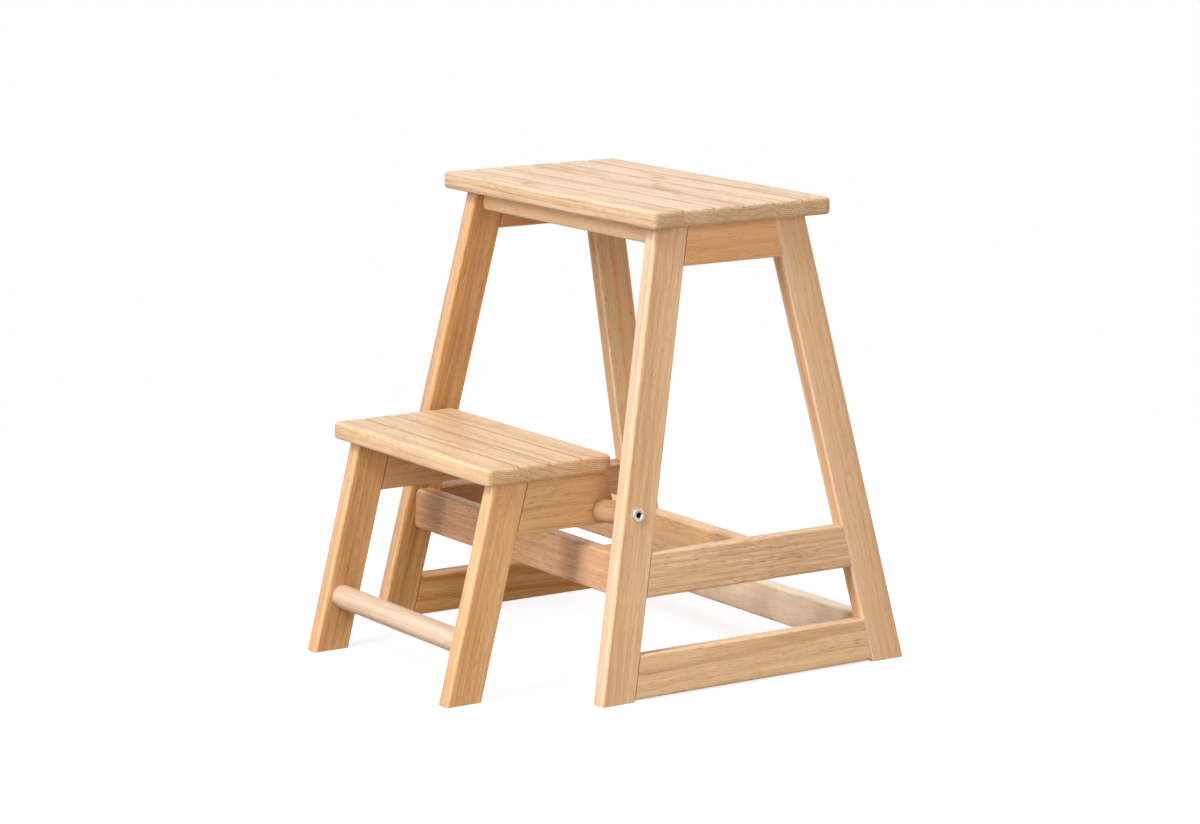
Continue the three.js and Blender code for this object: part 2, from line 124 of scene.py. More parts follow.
# A node group with named inputs: {kind: {name: default}}, and outputs: {name: kind}. It comes with
# what adds its nodes, and with the wires of its inputs.
def newGroup(name, treeType, inputs, outputs):
    tree = bpy.data.node_groups.new(name, treeType)
    for key, kind in outputs.items():
        tree.interface.new_socket(key, in_out="OUTPUT", socket_type="NodeSocket" + kind)
    for kind, values in inputs.items():
        for key, value in values.items():
            socket = tree.interface.new_socket(key, in_out="INPUT", socket_type="NodeSocket" + kind)
            if value is not None:
                socket.default_value = value
    add = partial(addNode, tree)
    return tree, add, add("NodeGroupInput", out=None)


# A new material, what adds its nodes, and its Principled node
def newMaterial(name):
    material = bpy.data.materials.new(name)
    material.use_nodes = True
    tree = material.node_tree
    return material, partial(addNode, tree), tree.nodes["Principled BSDF"]


# Wood: one group for all the wood materials. Each pattern is a noise: how often it repeats in a
# metre along, across and through the board, its detail and roughness, and for some where they
# begin and are full.
patterns = {
    "wander": ((4.5, 16, 16), 3.0, 0.5), "sway": ((1.6, 5, 5), 1.0, 0.5),
    "cloud": ((9, 22, 22), 1.0, 0.5), "fade": ((3, 30, 30), 2.0, 0.5, 0.35, 0.7),
    "broad": ((2.5, 85, 85), 2.0, 0.5, 0.3, 0.7), "narrow": ((13, 430, 430), 3.0, 0.6, 0.34, 0.66),
    "fine": ((26, 1000, 1000), 2.0, 0.6, 0.3, 0.7), "crowd": ((7, 48, 48), 1.0, 0.5, 0.28, 0.56),
    "dash": ((85, 850, 850), 2.0, 0.5, 0.56, 0.66),
}
# Where the late wood and the thin line of a ring rise and fall, of its width
ringParts = {"late": (0.25, 0.86, 0.9, 1.0), "line": (0.7, 0.84, 0.84, 0.98)}
# How much of each goes into the tone, the roughness and the height
grain = {
    "sway": 2.0, "fadedRings": 0.35, "closeGap": 0.3, "broad": 0.45, "narrow": 0.55, "cloud": 0.35,
    "palest": -0.25, "darkest": 1.3, "wornAndLitWhite": 0.12,
    "rough": 0.43, "fineRough": 0.1, "poreRough": 0.25, "endRough": 0.12, "edgeGloss": 0.06,
    "fineHeight": 0.35, "poreDepth": 0.9, "lateHeight": 0.15,
}


def makeWoodGroup():
    tree, add, given = newGroup("woodGrain", "ShaderNodeTree", {
        "Color": dict.fromkeys(("Light", "Dark", "Pore")), "Vector": {"Pith": None},
        "Float": {
            "Ring Gap": 0.008, "Ring Wander": 0.006, "Rings": 0.3, "Streaks": 0.6, "Fibres": 0.35,
            "Pores": 0.4, "Ring Lines": 0.12, "End Rings": 0.9, "Tone Shift": 0.12,
            "Edge Wear": 0.4, "End Darkness": 0.3, "Groove Stain": 0.6, "Flank Paleness": 0.0,
        },
    }, {"Color": "Color", "Roughness": "Float", "Height": "Float"})
    place = add("ShaderNodeAttribute", attribute_name="woodPlace", out=1)
    edge, end, tone, groove, flank = (
        add("ShaderNodeAttribute", attribute_name="wood" + name, out=2)
        for name in ("Edge", "End", "Tone", "Groove", "Flank"))

    def noise(name):
        stretch, detail, roughness = patterns[name][:3]
        return add("ShaderNodeTexNoise", {"Vector": vec("MULTIPLY", place, stretch), "Scale": 1.0,
                                          "Detail": detail, "Roughness": roughness})

    def pattern(name, least=0.0, smooth=False):
        return remap(noise(name), *patterns[name][3:], least, smooth=smooth)

    def ringPart(name):
        low, high, fall, last = ringParts[name]
        return remap(turn, low, high, smooth=True) * remap(turn, fall, last, 1.0, 0.0, smooth=True)

    # growth rings round a pith that wanders along the board
    drift = (noise("wander") - 0.5 + (noise("sway") - 0.5) * grain["sway"]) * given["Ring Wander"]
    flat = vec("MULTIPLY", vec("SUBTRACT", place, given["Pith"]), (0, 1, 1))
    radius = vec("LENGTH", flat, out=1) + drift
    turn = calc("FRACT", radius / given["Ring Gap"])
    late = ringPart("late")
    ring = late * given["Rings"] + ringPart("line") * given["Ring Lines"]
    ring = ring * pattern("fade", grain["fadedRings"])
    close = calc("FRACT", radius / (given["Ring Gap"] * grain["closeGap"]))
    ring = ring + (abs(close - 0.5) - 0.25) * (end * given["End Rings"])

    # broad and narrow streaks, fine fibres and short dark pores, all stretched along the grain
    streak = pattern("broad") * grain["broad"] + pattern("narrow") * grain["narrow"]
    fine = pattern("fine")
    pore = pattern("dash", smooth=True) * pattern("crowd") * given["Pores"]

    amount = ring + streak * given["Streaks"] + (fine - 0.5) * given["Fibres"]
    amount = amount + (noise("cloud") - 0.5) * grain["cloud"] + tone * given["Tone Shift"]
    # rounded edges paler: wear, and painted highlight
    amount = amount + end * given["End Darkness"] - edge * given["Edge Wear"]
    amount = add("ShaderNodeClamp", [amount, grain["palest"], grain["darkest"]])
    color = blend(remap(amount, 0.0, 1.0), given["Light"], given["Dark"])
    color = blend(pore, color, given["Pore"])
    # edges past the palest tone go towards white: wear, and painted highlight
    wornAndLit = remap(amount, grain["palest"], 0.0, grain["wornAndLitWhite"], 0.0)
    # painted highlight: the narrow front and back faces of the legs whitened
    color = blend(calc("MAXIMUM", wornAndLit, flank * given["Flank Paleness"]), color, white)
    # painted shade in the seat grooves and in the ring round each bolt head, in the pore tone
    color = blend(groove * given["Groove Stain"], color, given["Pore"])

    rough = fine * grain["fineRough"] + pore * grain["poreRough"] + end * grain["endRough"]
    rough = rough + grain["rough"] - edge * grain["edgeGloss"]
    height = fine * grain["fineHeight"] - pore * grain["poreDepth"] + late * grain["lateHeight"]
    add("NodeGroupOutput", [color, rough, height])
    return tree


woodGroup = makeWoodGroup()

# Each wood's light, dark and pore tones, and where it differs from the group's own values. Pith,
# Ring Gap and Ring Wander are in metres.
woods = {
    "rightLegWood": {
        "Tones": ("#f1c494", "#c28f5f", "#8e613d"), "Pith": (0, 0.09, 0.05), "Ring Gap": 0.0085,
        "Rings": 0.2, "Streaks": 0.55, "Fibres": 0.4, "Pores": 0.28, "Flank Paleness": 0.18,
    },
    # painted shade: the left front leg darker and more orange than the right
    "leftLegWood": {
        "Tones": ("#ecb471", "#bd8349", "#80512a"), "Pith": (0, 0.08, 0.06), "Rings": 0.35,
        "Streaks": 1.0, "Fibres": 0.4, "Pores": 0.45, "Flank Paleness": 0.12,
    },
    # painted light: the left rear leg lighter than the left front leg
    "rearLeftLegWood": {
        "Tones": ("#f8ce95", "#f3b275", "#905d34"), "Pith": (0, 0.07, 0.07), "Ring Gap": 0.009,
        "Streaks": 0.8, "Fibres": 0.4, "Flank Paleness": 0.3,
    },
    "stepLegWood": {
        "Tones": ("#e8b479", "#b67e49", "#7f522d"), "Pith": (0, 0.09, 0.05), "Ring Gap": 0.0085,
        "Rings": 0.2, "Fibres": 0.4, "Pores": 0.35, "Flank Paleness": 0.06,
    },
    "sideRailWood": {
        "Tones": ("#f8d5a7", "#d5a477", "#825737"), "Pith": (0, 0.1, 0.03), "Ring Gap": 0.006,
        "Ring Wander": 0.005, "Streaks": 0.95, "Fibres": 0.5, "Pores": 0.5,
    },
    # painted shade: the left middle rail much darker than the right, as in the step seat's shadow
    "leftRailWood": {
        "Tones": ("#d5a16e", "#a26e40", "#6d4424"), "Pith": (0, 0.09, 0.04), "Ring Gap": 0.007,
        "Streaks": 0.75, "Fibres": 0.5, "Pores": 0.7,
    },
    # painted shade: the left low rail more orange than the right
    "leftLowRailWood": {
        "Tones": ("#f8c07d", "#cd8e4b", "#855328"), "Pith": (0, 0.04, 0.04), "Ring Gap": 0.01,
        "Ring Wander": 0.018, "Rings": 0.55, "Streaks": 0.7,
    },
    "lowRailWood": {
        "Tones": ("#f8ce9f", "#cb9968", "#8a5b39"), "Pith": (0, 0.03, 0.045), "Ring Gap": 0.011,
        "Ring Wander": 0.02, "Rings": 0.4, "Streaks": 0.5,
    },
    "topApronWood": {
        "Tones": ("#f8be83", "#d4945e", "#8d582c"), "Pith": (0, 0.05, 0.08), "Ring Wander": 0.008,
        "Rings": 0.25, "Streaks": 0.45, "Pores": 0.3,
    },
    "stepApronWood": {
        "Tones": ("#edbf89", "#c38e59", "#86572d"), "Pith": (0, 0.07, 0.06), "Ring Gap": 0.009,
        "Ring Wander": 0.008, "Rings": 0.35,
    },
    "frontRailWood": {
        "Tones": ("#e6b98f", "#b5835d", "#6b4830"), "Pith": (0, 0.08, 0.08), "Ring Gap": 0.007,
        "Ring Wander": 0.005, "Rings": 0.2, "Streaks": 0.75, "Fibres": 0.5, "Pores": 0.5,
    },
    # painted light: the top rails lightened where the seat shades them
    "topRailWood": {
        "Tones": ("#f8daae", "#f8c392", "#a5724f"), "Pith": (0, 0.05, 0.09), "Ring Gap": 0.009,
        "Rings": 0.25,
    },
    # painted light: the low rear rail lightened nearly to white
    "lowRearRailWood": {
        "Tones": ("#f8e9d0", "#f8d6b3", "#b78e69"), "Pith": (0, 0.06, 0.08), "Rings": 0.25,
    },
    # painted light: the rest rail lightened
    "restRailWood": {"Tones": ("#f8d5a7", "#e5ae76", "#95653b"), "Pith": (0, 0.06, 0.07)},
    "seatWood": {
        "Tones": ("#f4d8b6", "#c99d6e", "#8a6043"), "Pith": (0, 0.012, 0.075), "Ring Gap": 0.0056,
        "Ring Wander": 0.018, "Rings": 0.2, "Ring Lines": 0.85, "End Rings": 2.2, "Streaks": 0.8,
        "Pores": 0.38, "Edge Wear": 0.22, "End Darkness": 0.26, "Groove Stain": 0.7,
    },
    "stepSeatWood": {
        "Tones": ("#efcba0", "#c49465", "#855838"), "Pith": (0, 0.03, 0.08), "Ring Gap": 0.0065,
        "Ring Wander": 0.012, "Rings": 0.2, "Ring Lines": 0.6, "End Rings": 2.2, "Streaks": 0.5,
        "Edge Wear": 0.18, "End Darkness": 0.28,
    },
    "rungWood": {
        "Tones": ("#e7d0b8", "#caa482", "#9f7659"), "Pith": (0, 0.03, 0.05), "Ring Gap": 0.007,
        "Ring Wander": 0.005, "Rings": 0.25, "Streaks": 0.4, "Pores": 0.25,
    },
    "spacerWood": {
        "Tones": ("#c5a076", "#a17754", "#744b2b"), "Pith": (0, 0.02, 0.03), "Ring Gap": 0.004,
        "Ring Wander": 0.004, "Rings": 0.35, "Streaks": 0.5, "Pores": 0.3,
    },
    "dowelWood": {
        "Tones": ("#dcb284", "#b98452", "#80522f"), "Pith": (0, 0.02, 0.02), "Ring Gap": 0.004,
        "Ring Wander": 0.003, "Rings": 0.4, "Streaks": 0.4, "Fibres": 0.4,
    },
}
lacquer = {"Coat Weight": 0.28, "Coat Roughness": 0.35}
relief = {"Strength": 0.35, "Distance": 0.0002}


def makeWood(name, looks):
    material, add, principled = newMaterial(name)
    values = dict(looks)
    values.update(zip(("Light", "Dark", "Pore"), map(shade, values.pop("Tones"))))
    color, rough, height = add("ShaderNodeGroup", values, out=None, node_tree=woodGroup).values()
    normal = add("ShaderNodeBump", {**relief, "Height": height})
    fill(principled, {**lacquer, "Base Color": color, "Roughness": rough, "Normal": normal})
    return material


materials = {name: makeWood(name, looks) for name, looks in woods.items()}

# Zinc plated steel, turned on a lathe: fine rings round each piece's own axis
steelLook = {
    # the third tone is painted shade inside the sockets
    "color": "#eeece6", "dull": "#cfccc3", "paintedShade": "#2b2825", "ringScale": 2600, "cloudScale": 240,
    "cloud": (0.4, 0.75), "rough": 0.24, "ringRough": 0.12,
    "relief": {"Strength": 0.08, "Distance": 0.0001},
}


def makeSteel():
    material, add, principled = newMaterial("zincSteel")
    place = add("ShaderNodeAttribute", attribute_name="woodPlace", out=1)
    # painted shade inside the sockets of bolts and nuts, darker deeper in
    paintedShade = add("ShaderNodeAttribute", attribute_name="woodGroove", out=2)
    radius = vec("LENGTH", vec("MULTIPLY", place, (0, 1, 1)), out=1)
    cuts = add("ShaderNodeTexNoise", {"W": radius * steelLook["ringScale"], "Scale": 1.0},
               noise_dimensions="1D")
    cloud = add("ShaderNodeTexNoise", {"Vector": place, "Scale": steelLook["cloudScale"]})
    color = blend(remap(cloud, *steelLook["cloud"]), shade(steelLook["color"]),
                  shade(steelLook["dull"]))
    fill(principled, {
        "Base Color": blend(paintedShade, color, shade(steelLook["paintedShade"])),
        "Roughness": cuts * steelLook["ringRough"] + steelLook["rough"],
        "Normal": add("ShaderNodeBump", {**steelLook["relief"], "Height": cuts}),
        "Metallic": 1.0,
    })
    return material


materials["zincSteel"] = makeSteel()
print("materials made:", ", ".join(materials))


# Mesh helpers
def cadPoints(node):
    return np.array([v.co for v in frame["nodes"][node].data.vertices])


def boxOf(node):
    low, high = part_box(node)
    return low, high, (low + high) / 2


def boxCentre(node):
    return boxOf(node)[2]


# How far a node reaches along a direction from a place
def reachFrom(node, place, direction):
    return float(((cadPoints(node) - np.array(place)) @ np.array(direction)).max())


def linkObject(name, data):
    made = bpy.data.objects.new(name, data)
    bpy.context.scene.collection.objects.link(made)
    return made


def toMesh(name, bm):
    bmesh.ops.recalc_face_normals(bm, faces=bm.faces)
    mesh = bpy.data.meshes.new(name)
    bm.to_mesh(mesh)
    bm.free()
    return mesh


# The mesh that an object's modifiers make, as a plain mesh. The object goes.
def settle(piece, name):
    evaluated = piece.evaluated_get(bpy.context.evaluated_depsgraph_get())
    mesh = bpy.data.meshes.new_from_object(evaluated)
    mesh.name = name
    bpy.data.objects.remove(piece)
    return mesh


# A mesh less its cutters, each a mesh of closed bodies
def carve(mesh, *cutters):
    name = mesh.name
    piece = linkObject(name, mesh)
    tools = [linkObject("cutter", cutter) for cutter in cutters]
    for tool in tools:
        modifier = piece.modifiers.new("carve", "BOOLEAN")
        modifier.operation = "DIFFERENCE"
        modifier.solver = "EXACT"
        modifier.object = tool
    carved = settle(piece, name)
    for tool in tools:
        bpy.data.objects.remove(tool)
    return carved


# Moves the origin to a place and turns an axis to a direction
def placing(place, direction, axis="X", up="Z"):
    return Matrix.Translation(place) @ direction.to_track_quat(axis, up).to_matrix().to_4x4()


# A profile of (height, radius) pairs turned about X. A radius of zero closes an end.
def turnedBody(name, profile, segments, start, along):
    bm = bmesh.new()
    angles = [math.tau * i / segments for i in range(segments)]
    rings = []
    for height, radius in profile:
        points = [(radius * math.cos(a), radius * math.sin(a)) for a in angles]
        rings.append([bm.verts.new((height, *point)) for point in points[:None if radius else 1]])
    for first, second in zip(rings, rings[1:]):
        for i in range(segments):
            j = (i + 1) % segments
            corners = [first[i % len(first)], first[j % len(first)],
                       second[j % len(second)], second[i % len(second)]]
            bm.faces.new(list(dict.fromkeys(corners)))
    bm.transform(placing(start, along))
    return toMesh(name, bm)


# Holes for dowels, bolts and the rung: (centre, direction, radius, length) each
def holeCutter(holes, segments=40):
    bm = bmesh.new()
    for centre, along, radius, length in holes:
        bmesh.ops.create_cone(bm, cap_ends=True, segments=segments, radius1=radius, radius2=radius,
                              depth=length, matrix=placing(centre, along, "Z", "X"))
    return toMesh("holes", bm)


def drill(mesh, holes):
    return carve(mesh, holeCutter(holes))


def bevel(bm, edges, size, steps):
    bmesh.ops.bevel(bm, geom=edges, offset=size, segments=steps, profile=0.5, affect="EDGES")


def store(mesh, name, values, kind="FLOAT", domain="POINT"):
    field = "value" if kind == "FLOAT" else "vector"
    data = mesh.attributes.new(name, kind, domain).data
    data.foreach_set(field, values.astype(np.float32).ravel())


# A mask that is 0 up to low and 1 from high
def ramp(values, low, high):
    return np.clip((values - low) / (high - low), 0, 1)


# How the grain lies: how far it is shifted from piece to piece and from strip to strip, in metres,
# and where the masks for ends, flanks, edges, grooves and sockets begin and are full
grainLay = {
    "shift": (20, 0.012, 0.012), "seedShift": 3.7, "stripShift": (30, 0.02, 0.01),
    "end": (0.35, 0.85), "flank": (0.6, 0.9), "edge": 2, "seatRim": 1.5, "groove": (1.1, 0.8),
    "grooveDepth": 0.0045, "socketReach": 6, "boreReach": 1.1, "boreDepth": (0.5, 2),
}


# Grain coordinates for the wood, and masks for rounded edges with wear and painted highlight, end
# grain, and the painted shade of grooves, sockets and bolt-head rings
def giveGrain(mesh, axes, seed, edgeRadius, strips=None, socket=None, bore=None):
    axes = np.array(axes)
    vertices = np.array([v.co for v in mesh.vertices])
    normals = np.array([v.vector for v in mesh.vertex_normals])
    local = vertices @ axes.T
    low, high = local.min(0), local.max(0)
    centred = local - (low + high) / 2
    half = (high - low) / 2
    draw = np.random.default_rng(seed)
    offset = draw.uniform(-1, 1, 3) * grainLay["shift"] + (seed * grainLay["seedShift"], 0, 0)
    near = ramp(half - np.abs(centred), edgeRadius, 0)
    edge = np.clip(grainLay["edge"] * near[:, 1] * near[:, 2], 0, 1)
    groove = np.zeros(len(vertices))
    if strips:
        count, depth, grooveHalf = strips
        line = (centred[:, 1] / depth + 0.5) * count
        off = np.abs(line - np.clip(np.round(line), 1, count - 1)) * depth / count
        # painted shade in the seat's grooves
        groove = ramp(off / grooveHalf, *grainLay["groove"])
        groove *= centred[:, 2] > half[2] - grainLay["grooveDepth"]
        # the top rim at a seat's ends is paler too: wear, and painted highlight
        rim = near[:, 0] * near[:, 2] * (centred[:, 2] > 0)
        edge = np.clip(edge + grainLay["seatRim"] * rim, 0, 1)
    # painted shade inside a hexagon socket, darker deeper in
    if socket:  # the inside of a hexagon socket, by its radius and its depth from the piece's end
        radius, depth, facing = socket
        fromEnd = half[0] - centred[:, 0] * facing
        inside = np.hypot(centred[:, 1], centred[:, 2]) < radius
        near = fromEnd < depth * grainLay["socketReach"]
        groove = inside * np.clip(fromEnd / depth, 0, 1) * near
    # painted shade in the counterbore ring round a bolt head
    if bore:  # the dark ring under a bolt head
        place, radius, depth = bore
        beside = vertices - np.array(place)
        sunk = -beside @ axes[2]
        away = np.linalg.norm(beside + np.outer(sunk, axes[2]), axis=1)
        least, most = (depth * share for share in grainLay["boreDepth"])
        groove = (away < radius * grainLay["boreReach"]) & (sunk > least) & (sunk < most)
    ends, flanks = (np.abs(normals @ axis) for axis in axes[:2])
    store(mesh, "woodEdge", edge)
    store(mesh, "woodEnd", ramp(ends, *grainLay["end"]))
    store(mesh, "woodFlank", ramp(flanks, *grainLay["flank"]))
    store(mesh, "woodGroove", groove)
    corners = np.array([loop.vertex_index for loop in mesh.loops])
    place = (centred + offset)[corners]
    tones = np.full(len(corners), draw.uniform(-1, 1))
    if strips:  # each strip of a seat is a board of its own
        middles = np.array([p.center for p in mesh.polygons]) @ axes[1] - (low[1] + high[1]) / 2
        strip = np.clip(np.floor((middles / depth + 0.5) * count), 0, count - 1).astype(int)
        strip = np.repeat(strip, [p.loop_total for p in mesh.polygons])
        place = place + (draw.uniform(-1, 1, (count, 3)) * grainLay["stripShift"])[strip]
        place[:, 1] -= (strip - (count - 1) / 2) * depth / count
        tones = draw.uniform(-1, 1, count)[strip]
    store(mesh, "woodPlace", place, "FLOAT_VECTOR", "CORNER")
    store(mesh, "woodTone", tones, domain="CORNER")


# The angle between faces, in degrees, from which an edge stays sharp
sharpFrom = {"board": 50, "seat": 60, "small": 40}


def smoothFlats(mesh, name):
    for polygon in mesh.polygons:
        polygon.use_smooth = True
    mesh.set_sharp_from_angle(angle=math.radians(sharpFrom["board"]))
    piece = linkObject(name, mesh)
    modifier = piece.modifiers.new("evenNormals", "WEIGHTED_NORMAL")
    modifier.keep_sharp = True
    modifier.weight = 100
    return settle(piece, name)


def finishPiece(name, mesh, body, nodes, material):
    mesh.materials.clear()
    mesh.materials.append(materials[material])
    piece = linkObject(name, mesh)
    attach(piece, body)
    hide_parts(*nodes)


# A board lies between six planes, square to the given directions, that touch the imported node
def cornersOf(node, faces, edges, ends):
    points = cadPoints(node)
    corners = {}
    for i, face in enumerate(faces):
        for j, edge in enumerate(edges):
            for k, end in enumerate(ends):
                planes = np.array([face, edge, end])
                corners[i, j, k] = Vector(np.linalg.solve(planes, (points @ planes.T).max(0)))
    return corners


boardSteps = {"edge": 5, "end": 2, "corner": 6}


def boardMesh(name, corners, edgeRadii, endEase, cornerRadius):
    bm = bmesh.new()
    verts = {key: bm.verts.new(place) for key, place in corners.items()}
    for axis in range(3):
        for side in (0, 1):
            ring = [tuple(np.insert(pair, axis, side)) for pair in ((0, 0), (1, 0), (1, 1), (0, 1))]
            bm.faces.new([verts[key] for key in ring])
    bmesh.ops.recalc_face_normals(bm, faces=bm.faces)
    keyOf = {vert: key for key, vert in verts.items()}

    # the edges that run along one axis of the board
    def running(axis):
        keys = {edge: [keyOf[v] for v in edge.verts] for edge in bm.edges}
        return {e: first for e, (first, second) in keys.items() if first[axis] != second[axis]}

    if cornerRadius:  # seen from the front the ends have round corners
        bevel(bm, list(running(0)), cornerRadius, boardSteps["corner"])
        wide = sorted(bm.faces, key=lambda f: -f.calc_area())[:2]
        outline = list({e for f in wide for e in f.edges})
        bevel(bm, outline, edgeRadii[0], boardSteps["edge"])
        return toMesh(name, bm)
    ends = [f for f in bm.faces if len({keyOf[v][2] for v in f.verts}) == 1]
    planes = [(f.calc_center_median(), f.normal.copy()) for f in ends]
    long = [[e for e, key in running(2).items() if key[1] == side] for side in (0, 1)]
    for edges, radius in zip(long, edgeRadii):
        bevel(bm, edges, radius, boardSteps["edge"])

    def misfit(face, centre, normal):
        away = abs((face.calc_center_median() - centre).dot(normal))
        return away + (1 - face.normal.dot(normal))

    caps = [min(bm.faces, key=lambda face: misfit(face, *plane)) for plane in planes]
    bevel(bm, [edge for cap in caps for edge in cap.edges], endEase, boardSteps["end"])
    return toMesh(name, bm)


# The way the boards lean, in degrees, and their rounding and holes, in metres
stance = {"splay": 5.82, "mainLean": 11.53, "stepLean": 14.5}
rounding = {
    "leg": 0.0042, "legInner": 0.0016, "rail": 0.003, "railCorner": 0.007, "legEnd": 0.0009,
    "railEnd": 0.0003,
}
fit = {
    "dowel": 0.0043, "dowelLength": 0.0306, "bolt": 0.0033, "boltLength": 0.2,
    "apronBolt": 0.0042, "apronBoltLength": 0.05, "headSeat": 0.0079, "headSeatDepth": 0.0009,
    "socket": 0.0128, "socketLength": 0.2746, "screw": 0.0023, "screwHead": 0.0043,
    "screwHeadDepth": 0.0033,
}
splay, mainLean, stepLean = (math.radians(stance[k]) for k in ("splay", "mainLean", "stepLean"))
outward = {label: Vector((side * math.cos(splay), 0, math.sin(splay)))
           for label, side in sides.items()}


def leaning(up, lean):
    along = up * math.cos(lean) + yAxis * math.sin(lean)
    across = yAxis * math.cos(lean) - up * math.sin(lean)
    return along, across


def dowelHole(node, along):
    return boxCentre(node), along, fit["dowel"], fit["dowelLength"]


def screwHoles(node):
    low, high, centre = boxOf(node)
    shaft = (centre, zAxis, fit["screw"], high.z - low.z)
    head = (Vector((centre.x, centre.y, low.z)), zAxis, fit["screwHead"], fit["screwHeadDepth"] * 2)
    return [shaft, head]


seeds = {"next": 11}


def addBoard(node, body, kind, material, axes, ends, radii, holes, top=None, cornerRadius=0.0,
             bore=None):
    along, across, through = axes
    corners = cornersOf(node, (through, -through), (-across, top or across), ends)
    mesh = boardMesh(node, corners, radii, rounding[kind + "End"], cornerRadius)
    mesh = smoothFlats(drill(mesh, holes), node + "_wood")
    seeds["next"] += 1
    giveGrain(mesh, axes, seeds["next"], max(radii), bore=bore)
    finishPiece(node + "_wood", mesh, body, [node], material)


# The two bolts cross the fold axis in the middle of the step's aprons
foldPlace = frame["joints"][0]["pos_m"]
pivots = {label: Vector((boxCentre(f"step_apron_{label}").x, *foldPlace[1:])) for label in sides}

# The two sides get different woods, left then right: the left woods carry painted shade, darker and
# more orange, and the left rear leg's wood carries painted light
sideMaterials = {
    "front_leg": ("leftLegWood", "rightLegWood"), "rear_leg": ("rearLeftLegWood", "rightLegWood"),
    "top_apron": ("topApronWood",) * 2, "mid_side_rail": ("leftRailWood", "sideRailWood"),
    "low_side_rail": ("leftLowRailWood", "lowRailWood"),
}
# The top, rest and low rear rails' woods carry painted light
crossMaterials = {
    "top_rail_front": "topRailWood", "top_rail_rear": "topRailWood",
    "mid_front_rail": "frontRailWood", "rest_rail": "restRailWood",
    "low_rear_rail": "lowRearRailWood",
}
sideRails = ("top_apron", "mid_side_rail", "low_side_rail")
railsOfLeg = {
    "front": ("top_rail_front", "mid_front_rail"), "rear": ("top_rail_rear", "low_rear_rail"),
}
screwNodes = [f"seat_screw_{end}_{label}" for end in railsOfLeg for label in sides]
legRadii = (rounding["leg"], rounding["legInner"])
railRadii = (rounding["rail"], rounding["rail"])

for label, side in sides.items():
    outwards = outward[label]
    up = Vector((-side * math.sin(splay), 0, math.cos(splay)))
    legAxes = {"front": leaning(up, mainLean), "rear": leaning(up, -mainLean)}
    pivot = pivots[label]
    face = pivot + outwards * reachFrom(f"front_leg_{label}", pivot, outwards)

    for end, legAxis in legAxes.items():
        holes = [dowelHole(f"dowel_{rail}_{end}_{label}", yAxis) for rail in sideRails]
        holes += [dowelHole(f"dowel_{rail}_{label}", xAxis) for rail in railsOfLeg[end]]
        radii, bore = legRadii[::-1], None
        if end == "front":
            # the ring round the bolt head gets painted shade
            radii, bore = legRadii, (face, fit["headSeat"], fit["headSeatDepth"])
            holes += [(pivot, outwards, fit["bolt"], fit["boltLength"]),
                      (face, outwards, fit["headSeat"], fit["headSeatDepth"] * 2)]
        addBoard(f"{end}_leg_{label}", "frame", "leg", sideMaterials[end + "_leg"][side > 0],
                 (*legAxis, outwards), (-zAxis, zAxis), radii, holes, bore=bore)

    for rail in sideRails:
        holes = [dowelHole(f"dowel_{rail}_{end}_{label}", yAxis) for end in legAxes]
        if rail == "mid_side_rail":
            holes.append(dowelHole(f"dowel_rest_rail_{label}", xAxis))
        addBoard(f"{rail}_{label}", "frame", "rail", sideMaterials[rail][side > 0],
                 (yAxis, up, outwards), (-legAxes["front"][1], legAxes["rear"][1]), railRadii,
                 holes, top=zAxis if rail == "top_apron" else None)

for rail, material in crossMaterials.items():
    holes = [dowelHole(f"dowel_{rail}_{label}", xAxis) for label in sides]
    if rail.startswith("top"):
        end = rail.split("_")[2]
        holes += [hole for label in sides for hole in screwHoles(f"seat_screw_{end}_{label}")]
    addBoard(rail, "frame", "rail", material, (xAxis, zAxis, -yAxis), list(outward.values()),
             railRadii, holes, cornerRadius=rounding["railCorner"])

legAxis, legAcross = leaning(zAxis, stepLean)
apronRear = yAxis * math.cos(stepLean) + zAxis * math.sin(stepLean)
rungHole = (boxCentre("step_rung"), xAxis, fit["socket"], fit["socketLength"])
for label, side in sides.items():
    outwards = xAxis * side
    holes = [dowelHole(f"dowel_step_apron_{label}", yAxis)]
    addBoard(f"step_leg_{label}", "step", "leg", "stepLegWood", (legAxis, legAcross, outwards),
             (-zAxis, zAxis), legRadii, holes + [rungHole])
    holes += [dowelHole(f"dowel_step_seat_{label}", zAxis),
              (pivots[label], xAxis, fit["apronBolt"], fit["apronBoltLength"])]
    addBoard(f"step_apron_{label}", "step", "rail", "stepApronWood", (yAxis, zAxis, outwards),
             (-legAcross, apronRear), railRadii, holes)
print("boards made")


# A geometry tree ends in real geometry with its material
def endTree(add, geometry, material):
    real = add("GeometryNodeRealizeInstances", [geometry])
    smooth = add("GeometryNodeSetShadeSmooth", [real])
    dressed = add("GeometryNodeSetMaterial", {"Geometry": smooth, "Material": material})
    add("NodeGroupOutput", [dressed])


def splitPosition(add):
    return add("ShaderNodeSeparateXYZ", [add("GeometryNodeInputPosition")], out=None).values()


# Runs a geometry tree on a mesh and returns the plain mesh that it makes
def runTree(tree, mesh, inputs, name):
    piece = linkObject(name, mesh)
    modifier = piece.modifiers.new(tree.name, "NODES")
    modifier.node_group = tree
    sockets = {item.name: item for item in tree.interface.items_tree if item.in_out == "INPUT"}
    for key, value in inputs.items():
        modifier[sockets[key].identifier] = value
    return settle(piece, name)


# Seats: one rule makes both
seatLook = {
    "Corner Radius": 0.0064, "Edge Radius": 0.0038, "Groove Width": 0.0036, "Groove Depth": 0.0016,
    "Shoulder Width": 0.01, "Shoulder Depth": 0.00055, "Bunching": 0.85,
}
seatCuts = {"Cuts Per Strip": 16, "Cuts Along": 56, "Cuts Through": 12}
seats = {
    "main_seat": {"strips": 6, "body": "frame", "material": "seatWood", "seed": 5},
    "step_seat": {"strips": 4, "body": "step", "material": "stepSeatWood", "seed": 8},
}


